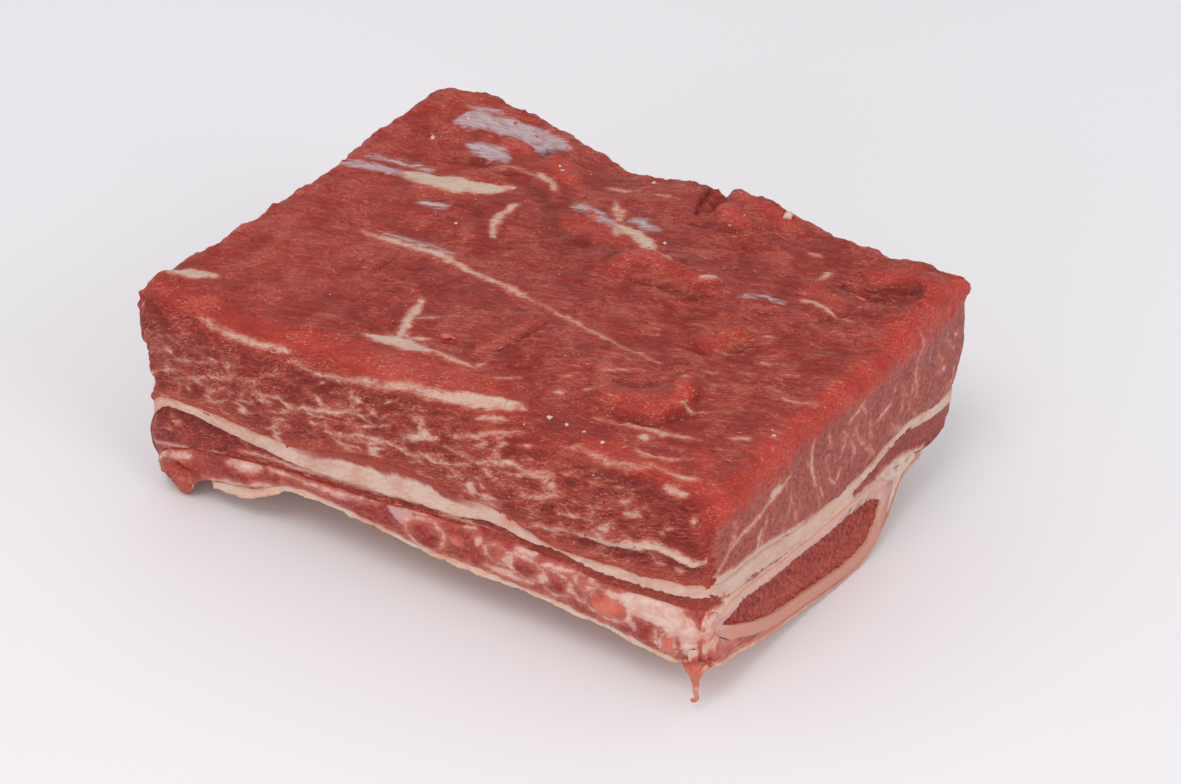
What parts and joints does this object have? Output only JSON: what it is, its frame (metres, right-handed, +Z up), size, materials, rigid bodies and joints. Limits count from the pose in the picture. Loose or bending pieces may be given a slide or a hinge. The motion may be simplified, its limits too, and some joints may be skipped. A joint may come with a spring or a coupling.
{
  "type": "raw beef short rib",
  "caption": "Thick block of raw beef on one rib bone, cut square across the bone at both ends, with a fat seam through the meat.",
  "frame": {"origin": "on the table, under the middle of the outer box", "axes": "+X along the rib bone towards the near cut end, -Y towards the long marbled side, +Z up"},
  "size_m": [0.1134, 0.0868, 0.0411],
  "materials": {
    "muscle": "moist raw beef muscle with pale marbling and torn fibres",
    "seam_fat": "firm beige-white fat, satin",
    "dark_muscle": "moist dark red muscle, satin",
    "bone": "freshly sawn pinkish grey bone",
    "marrow": "spongy dark red bone core, granular",
    "side_tissue": "wet pink-red tissue with pale fat rings",
    "cream_fat": "soft cream fat",
    "film": "thin translucent film over pale fat, moist"
  },
  "bodies": {
    "root": {"upper_muscle": "muscle", "fat_seam": "seam_fat", "lower_muscle": "dark_muscle", "rib_bone": "bone", "rib_marrow": "marrow", "side_tissue": "side_tissue", "far_fat": "cream_fat", "rib_film": "film"}
  },
  "joints": []
}
